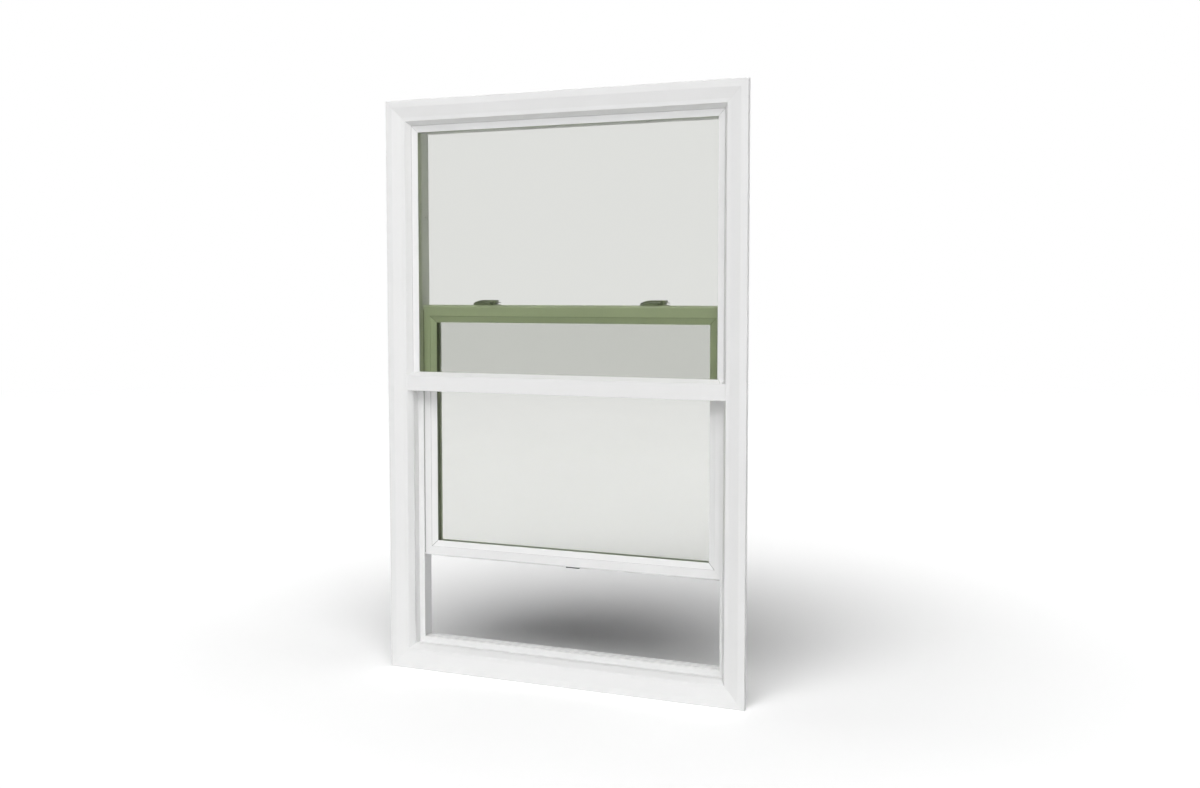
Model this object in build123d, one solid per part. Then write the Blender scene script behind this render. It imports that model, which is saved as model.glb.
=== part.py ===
from build123d import *
import os

os.makedirs("parts", exist_ok=True)

# Single-hung sash window in millimetres: x to the right seen from outside, y into the house, z up.
# The wall's face is at y = 0 and the flange's lower edge is at z = 0, centred on x = 0.
overall_width = 1000.0
overall_height = 1500.0

# Frame extrusion: widths run inward from the flange's outer edge, depths into the house
flange_thickness = 14.0
flange_reach = 35.0
band_width = 18.0
slope_width = 26.0
slope_fall = 5.5
lip_width = 10.0
lip_fall = 1.0
bevel_width = 10.5
rebate_front = 7.7
glazing_depth = 23.3
stop_height = 15.5
stop_thickness = 3.5
track_step = 7.5
frame_depth = 80.0
frame_wall = 2.2
edge_round = 1.2
stop_round = 0.6
bevel_wall_share = 1.25
bead_groove_width = 3.2
bead_groove_depth = 2.0

# Balance pocket in the frame extrusion, open to the sash through a slot
pocket_setback = 1.5
pocket_width = 13.0
pocket_depth = 22.0
slot_width = 6.5

# Holes for the screws that fix the jambs to the wall
fixing_radius = 2.6
fixing_low = 420.0
fixing_head_inset = 300.0

# Inserts in the head's and the sill's track
head_cover_height = 9.0
riser_height = 8.0
riser_depth = 37.0
riser_step = 2.5
riser_step_depth = 11.5
riser_groove = 1.0
riser_groove_width = 2.0
riser_groove_inset = 5.0
insert_wall = 1.6
insert_gap = 0.2

# Meeting rail
rail_bottom = 743.0
rail_face_height = 40.5
rail_setback = 1.0
rail_nose_depth = 15.0
rail_pocket_depth = 8.0
rail_sight_rise = 9.5
rail_leg_drop = 3.0
rail_leg_inset = 1.5
rail_back_projection = 1.0
rail_wall = 2.2
rail_leg_gap = 0.3

# Glass units: two panes with a spacer between them
pane_thickness = 3.0
unit_thickness = 19.0
spacer_setback = 1.0
spacer_edge_inset = 2.0
setting_block_length = 100.0
setting_block_gap = 0.3

# Upper light
upper_glass_gap = 4.5
upper_bead_width = 17.5
bead_edge = 1.2
bead_clip = 2.5
bead_clip_length = 10.0
rail_bead_setback = 1.5
rail_bead_leg = 5.0

# Lower sash: a hollow extrusion with its glass held by outside beads
sash_side_gap = 2.5
sash_front_gap = 4.5
sash_thickness = 32.0
sash_over_rail = 9.0
sash_face_width = 23.0
sash_bead_width = 16.4
sash_wall = 2.2
sash_round = 1.6
top_rail_extra = 6.8
top_chamfer_height = 6.0
top_chamfer_depth = 5.0
sash_glass_setback = 7.5
sash_bead_setback = 1.8
sash_glass_gap = 4.0
sash_raised = 217.0

# Seals
pile_width = 4.5
pile_inset = 0.5
pile_gap = 0.3
pile_end_inset = 6.0
rail_pile_height = 5.0
rail_pile_rise = 1.0
bulb_height = 3.7
bulb_clearance = 0.3
bulb_width = 10.0
bulb_end_inset = 15.0

# Nylon guides and balance shoes on the stiles
guide_gap = 0.3
guide_height = 40.0
guide_plate_depth = 21.0
guide_reach = 8.0
guide_end_inset = 8.0
shoe_arm_height = 16.0
shoe_reach = 22.0
shoe_rise = 5.0

# Spiral balances
tube_radius = 5.5
tube_wall = 0.7
tube_spare = 35.0
spring_clearance = 0.2
spring_wire = 1.0
rod_radius = 2.5
rod_overlap = 54.0
rod_seat = 6.0
nut_clearance = 0.3
nut_flange = 2.5
nut_stub = 10.0
nut_gap = 0.3
plug_length = 25.0
plug_head = 3.0
balance_lift = 2.0
balance_head_gap = 5.2
balance_screw_drop = 12.0
balance_screw_radius = 1.9
balance_screw_head = 3.2
balance_screw_head_height = 2.0

# Sash locks: base, lever and cam, with a keeper on the meeting rail
lock_spread = 237.0
lock_length = 79.0
lock_width = 27.0
lock_height = 7.5
lock_round = 2.0
lock_floor = 1.6
lock_roof = 1.9
lock_pivot_offset = 24.0
lock_fall_start = 3.0
lock_end_height = 0.9
lock_pivot_setback = 12.5
lock_front_setback = 2.5
cam_gap = 0.3
cam_radius = 7.5
cam_width = 9.0
cam_reach = 15.5
cam_sweep_room = 0.7
lock_shaft_radius = 4.0
lock_shaft_clearance = 0.1
lock_shaft_seat = 2.7
lever_thickness = 5.2
lever_hub_radius = 11.0
lever_tip_radius = 4.5
lever_length = 58.0
lever_dip_start = 32.0
lever_crown_start = 28.0
lever_tip_thickness = 2.1
lever_round = 1.6
lock_screw_left_inset = 13.0
lock_screw_left_height = 2.2
lock_screw_right_offset = 6.0
keeper_length = 46.0
keeper_height = 16.0
keeper_thickness = 3.0
keeper_slot_length = 14.0
keeper_slot_room = 1.0
keeper_screw_inset = 6.0
keeper_round = 2.0

# Small countersunk screws, shared by locks, keepers and lift
screw_radius = 1.7
screw_head_radius = 3.0
screw_head_height = 1.6
screw_fit = 0.05
screw_grip = 6.0

# Finger lift
lift_width = 38.0
lift_plate = 2.5
lift_rise = 21.5
lift_drop = 10.8
lift_reach = 16.0
lift_relief = 1.0
lift_seat_rise = 1.5
lift_round = 0.8
lift_screw_inset = 8.0

# One overrun serves every cut
overrun = 5.0

# Places worked out from the sizes above
half_width = overall_width / 2
face_y = -flange_thickness
slope_y = face_y + slope_fall
lip_y = slope_y + lip_fall
lip_start = band_width + slope_width
lip_end = lip_start + lip_width
rebate_floor = lip_end + bevel_width
bead_groove_floor = rebate_floor - bead_groove_depth
bead_groove_back = rebate_front + bead_groove_width
stop_edge = rebate_floor + stop_height
track_wall = rebate_floor + track_step
stop_front = rebate_front + glazing_depth
stop_back = stop_front + stop_thickness
pocket_front = stop_back + pocket_setback
pocket_back = pocket_front + pocket_width
pocket_middle = pocket_front + pocket_width / 2
pocket_inner = track_wall - frame_wall
pocket_floor = pocket_inner - pocket_depth
slot_front = pocket_middle - slot_width / 2
slot_back = pocket_middle + slot_width / 2
glass_front = stop_front - unit_thickness
seat_height = track_wall + riser_height
sash_closed_bottom = seat_height + bulb_height + bulb_clearance
sash_height = rail_bottom + sash_over_rail - sash_closed_bottom
sash_bottom = sash_closed_bottom + sash_raised
sash_top = sash_bottom + sash_height
sash_front = stop_back + sash_front_gap
sash_back = sash_front + sash_thickness
sash_edge = half_width - track_wall - sash_side_gap
sash_sight_width = sash_face_width + sash_bead_width
sash_glass_front = sash_front + sash_glass_setback
sash_glass_back = sash_glass_front + unit_thickness
rail_front = lip_y + rail_setback
rail_face_top = rail_bottom + rail_face_height
rail_nose_back = rail_front + rail_nose_depth
rail_pocket_floor = rail_face_top - rail_pocket_depth
rail_sight = rail_face_top + rail_sight_rise
rail_back = stop_back + rail_back_projection
rail_leg_bottom = rail_bottom - rail_leg_drop
rail_leg_end = half_width - stop_edge - rail_leg_gap
upper_sight = rebate_floor + upper_bead_width
cover_top = overall_height - track_wall
cover_bottom = cover_top - head_cover_height

# Each balance hangs below the head and takes its whole rod into its tube when the sash is up,
# so the sash travels about half of the height between its shoes and the head.
closed_arm_top = sash_closed_bottom + shoe_rise + shoe_arm_height
tube_top = cover_bottom - balance_head_gap - plug_head
balance_room = tube_top - closed_arm_top - balance_lift - nut_flange - nut_gap
sash_travel = (balance_room - rod_overlap - tube_spare) / 2
rod_length = sash_travel + rod_overlap
tube_length = rod_length + tube_spare
tube_bottom = closed_arm_top + sash_travel + balance_lift + nut_flange


def flat(points, rounds=0):
    """A flat face inside a closed run of points, with a rounding at each corner."""
    return make_face(FilletPolyline(*points, radius=rounds, close=True))


def along_x(outline, half_length, rounds=0):
    """A length of extrusion across the window, from its outline of (y, z) points."""
    section = flat([(-half_length, y, z) for y, z in outline], rounds)
    return extrude(section, amount=2 * half_length, dir=(1, 0, 0))


def block(x_low, x_high, y_low, y_high, z_low, z_high):
    """A straight block between two corners."""
    size = (x_high - x_low, y_high - y_low, z_high - z_low)
    return Pos(x_low, y_low, z_low) * Box(*size, align=(Align.MIN, Align.MIN, Align.MIN))


def rod(start, direction, radius, length):
    """A round rod from a point along a direction."""
    return extrude(Plane(origin=start, z_dir=direction) * Circle(radius), amount=length)


def ring_length(side, edges, outline, rounds=0):
    """The full length of one side of a ring of extrusions, before its ends are cut.

    The outline's points are (distance inward from the ring's edge, depth).
    """
    left, right, low, high = edges
    if side in ("left", "right"):
        place = {"left": lambda inward: left + inward, "right": lambda inward: right - inward}[side]
        section = flat([(place(inward), y, low) for inward, y in outline], rounds)
        return extrude(section, amount=high - low, dir=(0, 0, 1))
    place = {"bottom": lambda inward: low + inward, "top": lambda inward: high - inward}[side]
    section = flat([(left, y, place(inward)) for inward, y in outline], rounds)
    return extrude(section, amount=right - left, dir=(1, 0, 0))


def mitre_room(side, edges, y_low, y_high, extra=0):
    """The space that one mitred side of a ring may fill, with an extra strip past a taller side."""
    left, right, low, high = edges
    reach = min(right - left, high - low) / 2
    corners = {
        "left": [(left, low), (left, high), (left + reach, high - reach), (left + reach, low + reach)],
        "right": [(right, low), (right, high), (right - reach, high - reach), (right - reach, low + reach)],
        "bottom": [(left, low), (right, low), (right - reach, low + reach), (left + reach, low + reach)],
        "top": [(left, high), (right, high), (right - reach, high - reach), (left + reach, high - reach)],
    }[side]
    corners = [point for index, point in enumerate(corners) if point not in corners[:index]]
    room = extrude(flat([(x, y_low, z) for x, z in corners]), amount=y_high - y_low, dir=(0, 1, 0))
    if extra:
        room += block(left, right, y_low, y_high, high, high + extra)
    return room


def ring_side(side, edges, outline, rounds=0, chambers=(), extra=0):
    """One mitred side of a ring of extrusions, hollowed by its chambers."""
    depths = [y for inward, y in outline]
    bar = ring_length(side, edges, outline, rounds)
    for chamber in chambers:
        bar -= ring_length(side, edges, chamber)
    return bar & mitre_room(side, edges, min(depths) - overrun, max(depths) + overrun, extra)


def rectangle(low_inward, low_y, high_inward, high_y):
    """The four corners of an upright rectangle in an outline."""
    return [(low_inward, low_y), (high_inward, low_y), (high_inward, high_y), (low_inward, high_y)]


def screw(tip_side, direction, head_radius, head_height, radius, length):
    """A countersunk screw: the middle of its head's flat top, the way it points, and its sizes."""
    plane = Plane(origin=tip_side, z_dir=direction)
    head = loft([plane * Circle(head_radius), plane.offset(head_height) * Circle(radius)])
    return head + rod(plane.origin, direction, radius, length)


def screw_hole(tip_side, direction, head_radius, head_height, radius, length):
    """The countersunk hole that such a screw sits in, with a fit all round."""
    return screw(tip_side, direction, head_radius + screw_fit, head_height, radius + screw_fit, length)


def small_screw(place, direction):
    """One of the small countersunk screws."""
    return screw(place, direction, screw_head_radius, screw_head_height, screw_radius, screw_grip)


def small_screw_hole(place, direction):
    """The hole of one of the small countersunk screws."""
    return screw_hole(place, direction, screw_head_radius, screw_head_height, screw_radius, screw_grip)


def save(shape, node):
    """Write one piece under its name."""
    export_step(shape, f"parts/{node}.step")


# Frame: one hollow extrusion on four mitred sides
frame_edges = (-half_width, half_width, 0, overall_height)
front_outline = [
    (0, face_y),
    (band_width, face_y),
    (lip_start, slope_y),
    (lip_end, lip_y),
    (rebate_floor, rebate_front),
]
bead_groove = [
    (bead_groove_floor, rebate_front),
    (bead_groove_floor, bead_groove_back),
    (rebate_floor, bead_groove_back),
]
back_outline = [
    (rebate_floor, stop_front),
    (stop_edge, stop_front),
    (stop_edge, stop_back),
    (track_wall, stop_back),
    (track_wall, slot_front),
    (pocket_inner, slot_front),
    (pocket_inner, pocket_front),
    (pocket_floor, pocket_front),
    (pocket_floor, pocket_back),
    (pocket_inner, pocket_back),
    (pocket_inner, slot_back),
    (track_wall, slot_back),
    (track_wall, frame_depth),
    (flange_reach, frame_depth),
    (flange_reach, 0),
    (0, 0),
]
frame_outline = front_outline + bead_groove + back_outline
front_rounds = [edge_round, 0, 0, edge_round, 0] + [0] * len(bead_groove)
back_rounds = [0, stop_round, stop_round] + [0] * 9 + [edge_round, edge_round, 0, 0]
frame_rounds = front_rounds + back_rounds
bevel_at_wall = lip_end - bevel_width * lip_y / (rebate_front - lip_y)
frame_chambers = [
    [
        (frame_wall, face_y + frame_wall),
        (band_width, face_y + frame_wall),
        (lip_start, slope_y + frame_wall),
        (lip_end - frame_wall, lip_y + frame_wall),
        (lip_end - frame_wall, -frame_wall),
        (frame_wall, -frame_wall),
    ],
    [
        (flange_reach + frame_wall, 0),
        (bevel_at_wall - bevel_wall_share * frame_wall, 0),
        (bead_groove_floor - frame_wall, rebate_front),
        (bead_groove_floor - frame_wall, stop_front - frame_wall),
        (flange_reach + frame_wall, stop_front - frame_wall),
    ],
    rectangle(flange_reach + frame_wall, stop_front, pocket_floor - frame_wall, frame_depth - frame_wall),
    rectangle(pocket_floor, pocket_back + frame_wall, pocket_inner, frame_depth - frame_wall),
]
frame_sides = {"head": "top", "sill": "bottom", "jamb_left": "left", "jamb_right": "right"}
frame_bars = {
    name: ring_side(side, frame_edges, frame_outline, frame_rounds, frame_chambers)
    for name, side in frame_sides.items()
}
solid_jambs = [ring_length(side, frame_edges, front_outline + back_outline) for side in ("left", "right")]

# Fixing holes and balance screw holes through the jambs
fixing_y = (pocket_back + frame_depth) / 2
tube_middle = half_width - (pocket_floor + pocket_inner) / 2
balance_screw_z = tube_top - balance_screw_drop
for name, sign in (("jamb_left", -1), ("jamb_right", 1)):
    outward = (sign, 0, 0)
    start_x = sign * (half_width - stop_edge)
    for height in (fixing_low, overall_height - fixing_head_inset):
        frame_bars[name] -= rod((start_x, fixing_y, height), outward, fixing_radius, stop_edge)
    pilot_start = (sign * (half_width - pocket_floor - overrun), pocket_middle, balance_screw_z)
    pilot_radius = balance_screw_radius + screw_fit
    frame_bars[name] -= rod(pilot_start, outward, pilot_radius, overrun + 2 * frame_wall)
for name, bar in frame_bars.items():
    save(bar, f"frame_{name}")

# Inserts in the head's and the sill's track
insert_half = half_width - track_wall - insert_gap
head_cover = along_x(rectangle(stop_back + insert_gap, cover_bottom, frame_depth, cover_top), insert_half)
head_cover -= along_x(
    rectangle(
        stop_back + insert_gap + insert_wall,
        cover_bottom + insert_wall,
        frame_depth - insert_wall,
        cover_top - insert_wall,
    ),
    insert_half,
)
save(head_cover, "head_cover")
riser_front = stop_back + insert_gap
riser_back = riser_front + riser_depth
riser_low = seat_height - riser_step
groove_back = riser_back - riser_groove_inset
groove_front = groove_back - riser_groove_width
riser_outline = [
    (riser_front, track_wall),
    (riser_front, riser_low),
    (riser_front + riser_step_depth, riser_low),
    (riser_front + riser_step_depth, seat_height),
    (groove_front, seat_height),
    (groove_front, seat_height - riser_groove),
    (groove_back, seat_height - riser_groove),
    (groove_back, seat_height),
    (riser_back, seat_height),
    (riser_back, track_wall),
]
sill_riser = along_x(riser_outline, insert_half)
sill_riser -= along_x(
    rectangle(
        riser_front + insert_wall,
        track_wall + insert_wall,
        riser_back - insert_wall,
        riser_low - insert_wall,
    ),
    insert_half,
)
save(sill_riser, "sill_riser")

# Meeting rail: coped over the jambs' bevels, with a back leg between the stops
rail_half = half_width - lip_end
rail_outline = [
    (rail_front, rail_bottom),
    (rail_front, rail_face_top),
    (rail_nose_back, rail_face_top),
    (rail_nose_back, rail_pocket_floor),
    (stop_front, rail_pocket_floor),
    (stop_front, rail_bottom),
]
rail_chamber = [
    (rail_front + rail_wall, rail_bottom + rail_wall),
    (rail_front + rail_wall, rail_face_top - rail_wall),
    (rail_nose_back - rail_wall, rail_face_top - rail_wall),
    (rail_nose_back - rail_wall, rail_pocket_floor - rail_wall),
    (stop_front - rail_wall, rail_pocket_floor - rail_wall),
    (stop_front - rail_wall, rail_bottom + rail_wall),
]
meeting_rail = along_x(rail_outline, rail_half, [edge_round, stop_round, 0, 0, 0, 0])
meeting_rail -= along_x(rail_chamber, rail_half)
for jamb in solid_jambs:
    meeting_rail -= jamb
rail_leg = rectangle(stop_front, rail_leg_bottom, rail_back, rail_sight - rail_leg_inset)
meeting_rail += along_x(rail_leg, rail_leg_end)


def glass_unit(name, edges, front, sight_edges):
    """Two panes with a spacer ring between them that ends just behind the beads' inner edges."""
    left, right, low, high = edges
    sight_left, sight_right, sight_low, sight_high = sight_edges
    back = front + unit_thickness
    save(block(left, right, front, front + pane_thickness, low, high), f"{name}_pane_outer")
    save(block(left, right, back - pane_thickness, back, low, high), f"{name}_pane_inner")
    spacer_front = front + pane_thickness
    spacer_back = back - pane_thickness
    ring = block(
        left + spacer_edge_inset,
        right - spacer_edge_inset,
        spacer_front,
        spacer_back,
        low + spacer_edge_inset,
        high - spacer_edge_inset,
    )
    ring -= block(
        sight_left - spacer_setback,
        sight_right + spacer_setback,
        spacer_front - overrun,
        spacer_back + overrun,
        sight_low - spacer_setback,
        sight_high + spacer_setback,
    )
    save(ring, f"{name}_spacer")


def setting_blocks(edges, front, floor):
    """Two blocks that carry a glass unit, a quarter of its width in from each end."""
    left, right, low, high = edges
    quarter = (right - left) / 4
    blocks = []
    for middle in (left + quarter, right - quarter):
        blocks.append(
            block(
                middle - setting_block_length / 2,
                middle + setting_block_length / 2,
                front + setting_block_gap,
                front + unit_thickness - setting_block_gap,
                floor,
                low,
            )
        )
    return Compound(children=blocks)


# Upper light: glass unit against the stops, held by outside beads
upper_edges = (
    -half_width + rebate_floor + upper_glass_gap,
    half_width - rebate_floor - upper_glass_gap,
    rail_pocket_floor + upper_glass_gap,
    overall_height - rebate_floor - upper_glass_gap,
)
upper_sight_edges = (
    -half_width + upper_sight,
    half_width - upper_sight,
    rail_sight,
    overall_height - upper_sight,
)
glass_unit("upper", upper_edges, glass_front, upper_sight_edges)
save(setting_blocks(upper_edges, glass_front, rail_pocket_floor), "upper_setting_blocks")
upper_bead_edges = (
    -half_width + rebate_floor,
    half_width - rebate_floor,
    rail_face_top,
    overall_height - rebate_floor,
)
upper_bead_outline = [
    (0, rebate_front),
    (upper_bead_width, glass_front - bead_edge),
    (upper_bead_width, glass_front),
    (bead_clip, glass_front),
    (bead_clip, glass_front + bead_clip_length),
    (0, glass_front + bead_clip_length),
]
side_beads = {
    side: ring_length(side, upper_bead_edges, upper_bead_outline) for side in ("left", "right", "top")
}
top_room = mitre_room("top", upper_bead_edges, rebate_front - overrun, stop_front)
side_beads["top"] = side_beads["top"] & top_room
for side in ("left", "right"):
    side_beads[side] = side_beads[side] - top_room
for side, bead in side_beads.items():
    save(bead, f"upper_bead_{side}")
rail_bead_outline = [
    (rail_front + rail_bead_setback, rail_face_top),
    (glass_front - bead_edge, rail_sight),
    (glass_front, rail_sight),
    (glass_front, rail_face_top - rail_bead_leg),
    (rail_nose_back, rail_face_top - rail_bead_leg),
    (rail_nose_back, rail_face_top),
]
rail_bead = along_x(rail_bead_outline, rail_half)
for neighbour in solid_jambs + [side_beads["left"], side_beads["right"]]:
    rail_bead -= neighbour
rail_bead = rail_bead & block(
    -half_width + rebate_floor,
    half_width - rebate_floor,
    rail_front,
    glass_front,
    rail_pocket_floor,
    rail_sight,
)
save(max(rail_bead.solids(), key=lambda solid: solid.volume), "upper_bead_bottom")

# Lower sash: mitred stiles and rails, with a taller top rail that carries the locks
sash_mitre_top = sash_top - top_rail_extra
sash_edges = (-sash_edge, sash_edge, sash_bottom, sash_mitre_top)
sash_outline = [
    (0, sash_front),
    (sash_face_width, sash_front),
    (sash_face_width, sash_glass_back),
    (sash_sight_width, sash_glass_back),
    (sash_sight_width, sash_back),
    (0, sash_back),
]
sash_rounds = [sash_round, stop_round, 0, 0, sash_round, sash_round]
sash_chamber = rectangle(
    sash_wall, sash_front + sash_wall, sash_face_width - sash_wall, sash_back - sash_wall
)
top_rail_outline = [
    (top_chamfer_height - top_rail_extra, sash_front),
    *sash_outline[1:-1],
    (-top_rail_extra, sash_back),
    (-top_rail_extra, sash_front + top_chamfer_depth),
]
top_rail_rounds = [0, stop_round, 0, 0, sash_round, sash_round, 0]
top_rail_chamber = rectangle(
    top_chamfer_height - top_rail_extra,
    sash_front + sash_wall,
    sash_face_width - sash_wall,
    sash_back - sash_wall,
)
sash_stiles = {
    side: ring_side(side, sash_edges, sash_outline, sash_rounds, [sash_chamber]) for side in ("left", "right")
}
sash_bottom_rail = ring_side("bottom", sash_edges, sash_outline, sash_rounds, [sash_chamber])
sash_top_rail = ring_side(
    "top", sash_edges, top_rail_outline, top_rail_rounds, [top_rail_chamber], top_rail_extra
)
for side, stile in sash_stiles.items():
    save(stile, f"sash_stile_{side}")

# Sash glass unit, its beads and its setting blocks
sash_bead_edges = (
    -sash_edge + sash_face_width,
    sash_edge - sash_face_width,
    sash_bottom + sash_face_width,
    sash_mitre_top - sash_face_width,
)
sash_glass_edges = (
    sash_bead_edges[0] + sash_glass_gap,
    sash_bead_edges[1] - sash_glass_gap,
    sash_bead_edges[2] + sash_glass_gap,
    sash_bead_edges[3] - sash_glass_gap,
)
sash_sight_edges = (
    -sash_edge + sash_sight_width,
    sash_edge - sash_sight_width,
    sash_bottom + sash_sight_width,
    sash_mitre_top - sash_sight_width,
)
glass_unit("sash", sash_glass_edges, sash_glass_front, sash_sight_edges)
sash_blocks = setting_blocks(sash_glass_edges, sash_glass_front, sash_bead_edges[2])
save(sash_blocks, "sash_setting_blocks")
sash_bead_outline = [
    (0, sash_front + sash_bead_setback),
    (sash_bead_width, sash_glass_front - bead_edge),
    (sash_bead_width, sash_glass_front),
    (bead_clip, sash_glass_front),
    (bead_clip, sash_glass_front + bead_clip_length),
    (0, sash_glass_front + bead_clip_length),
]
for side in ("left", "right", "top", "bottom"):
    bead = ring_side(side, sash_bead_edges, sash_bead_outline)
    for piece in sash_blocks.solids():
        bead -= piece
    save(bead, f"sash_bead_{side}")

# Seals: pile on the stiles and on the rail's back leg, and a bulb under the sash
for side, sign in (("left", -1), ("right", 1)):
    pile_edges = sorted(sign * (sash_edge - pile_inset - reach) for reach in (0, pile_width))
    stile_pile = block(
        *pile_edges,
        stop_back + pile_gap,
        sash_front,
        sash_bottom + pile_end_inset,
        sash_mitre_top - pile_end_inset,
    )
    save(stile_pile, f"sash_pile_{side}")
rail_pile_bottom = rail_leg_bottom + rail_pile_rise
rail_pile_half = rail_leg_end - pile_end_inset
rail_pile = block(
    -rail_pile_half,
    rail_pile_half,
    rail_back,
    sash_front - pile_gap,
    rail_pile_bottom,
    rail_pile_bottom + rail_pile_height,
)
save(rail_pile, "meeting_rail_pile")
bulb_middle = (sash_front + sash_back) / 2
bulb_half = sash_edge - bulb_end_inset
bulb_front = bulb_middle - bulb_width / 2
bulb_back = bulb_middle + bulb_width / 2
bulb_outline = rectangle(bulb_front, sash_bottom - bulb_height, bulb_back, sash_bottom)
save(along_x(bulb_outline, bulb_half, [bulb_clearance, bulb_clearance, 0, 0]), "sash_bulb_seal")

# Nylon guides at the sash's upper corners, and balance shoes at its lower corners
tongue_front = slot_front + guide_gap
tongue_back = slot_back - guide_gap
plate_edge = half_width - track_wall - guide_gap


def stile_block(sign, inner, outer, y_low, y_high, z_low, z_high):
    """A block outside a stile, between two distances from the middle of the window."""
    x_low, x_high = sorted((sign * inner, sign * outer))
    return block(x_low, x_high, y_low, y_high, z_low, z_high)


guide_top = sash_mitre_top - guide_end_inset
guide_bottom = guide_top - guide_height
shoe_bottom = sash_bottom + shoe_rise
arm_top = shoe_bottom + shoe_arm_height
for side, sign in (("left", -1), ("right", 1)):
    plate_back = tongue_front + guide_plate_depth
    guide = stile_block(sign, sash_edge, plate_edge, tongue_front, plate_back, guide_bottom, guide_top)
    guide_end = sash_edge + guide_reach
    guide += stile_block(sign, sash_edge, guide_end, tongue_front, tongue_back, guide_bottom, guide_top)
    save(guide, f"sash_guide_{side}")
    plate_top = shoe_bottom + guide_height
    shoe = stile_block(sign, sash_edge, plate_edge, tongue_front, plate_back, shoe_bottom, plate_top)
    shoe_end = sash_edge + shoe_reach
    shoe += stile_block(sign, sash_edge, shoe_end, tongue_front, tongue_back, shoe_bottom, arm_top)
    rod_foot = arm_top - rod_seat
    axis_x = sign * tube_middle
    rod_start = (axis_x, pocket_middle, rod_foot)
    shoe -= rod(rod_start, (0, 0, 1), rod_radius, rod_length)
    save(shoe, f"balance_shoe_{side}")

    # Spiral balance: the rod rises from the shoe through the nut into the tube and its spring
    save(rod(rod_start, (0, 0, 1), rod_radius, rod_length), f"balance_rod_{side}")
    tube_start = (axis_x, pocket_middle, tube_bottom + nut_gap)
    tube_bore = tube_radius - tube_wall
    tube = rod(tube_start, (0, 0, 1), tube_radius, tube_length)
    tube -= rod(tube_start, (0, 0, 1), tube_bore, tube_length)
    nut_start = (axis_x, pocket_middle, tube_bottom - nut_flange)
    nut = rod(nut_start, (0, 0, 1), tube_radius, nut_flange)
    nut += rod(nut_start, (0, 0, 1), tube_bore - nut_clearance, nut_flange + nut_gap + nut_stub)
    nut -= rod(nut_start, (0, 0, 1), rod_radius + nut_clearance, nut_flange + nut_gap + nut_stub)
    save(nut, f"balance_nut_{side}")
    plug_bottom = tube_top - plug_length
    plug_start = (axis_x, pocket_middle, plug_bottom)
    plug = rod(plug_start, (0, 0, 1), tube_bore, plug_length)
    plug += rod((axis_x, pocket_middle, tube_top), (0, 0, 1), tube_radius, plug_head)
    spring_start = (axis_x, pocket_middle, tube_bottom + nut_gap + nut_stub + nut_gap)
    spring_length = plug_bottom - spring_start[2]
    spring_radius = tube_bore - spring_clearance
    spring = rod(spring_start, (0, 0, 1), spring_radius, spring_length)
    spring -= rod(spring_start, (0, 0, 1), spring_radius - spring_wire, spring_length)
    save(spring, f"balance_spring_{side}")
    hole_start = (axis_x - sign * (tube_radius + overrun), pocket_middle, balance_screw_z)
    hole = rod(hole_start, (sign, 0, 0), balance_screw_radius + screw_fit, 2 * (tube_radius + overrun))
    save(tube - hole, f"balance_tube_{side}")
    save(plug - hole, f"balance_plug_{side}")


def balance_screw(sign):
    """The pan-head screw that hangs a balance on the pocket's floor."""
    head_x = sign * tube_middle - sign * tube_radius
    length = sign * (half_width - pocket_floor + 2 * frame_wall) - head_x
    shank = rod((head_x, pocket_middle, balance_screw_z), (sign, 0, 0), balance_screw_radius, abs(length))
    head_start = (head_x, pocket_middle, balance_screw_z)
    head = rod(head_start, (-sign, 0, 0), balance_screw_head, balance_screw_head_height)
    return head + shank


save(Compound(children=[balance_screw(-1), balance_screw(1)]), "balance_screws")

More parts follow.
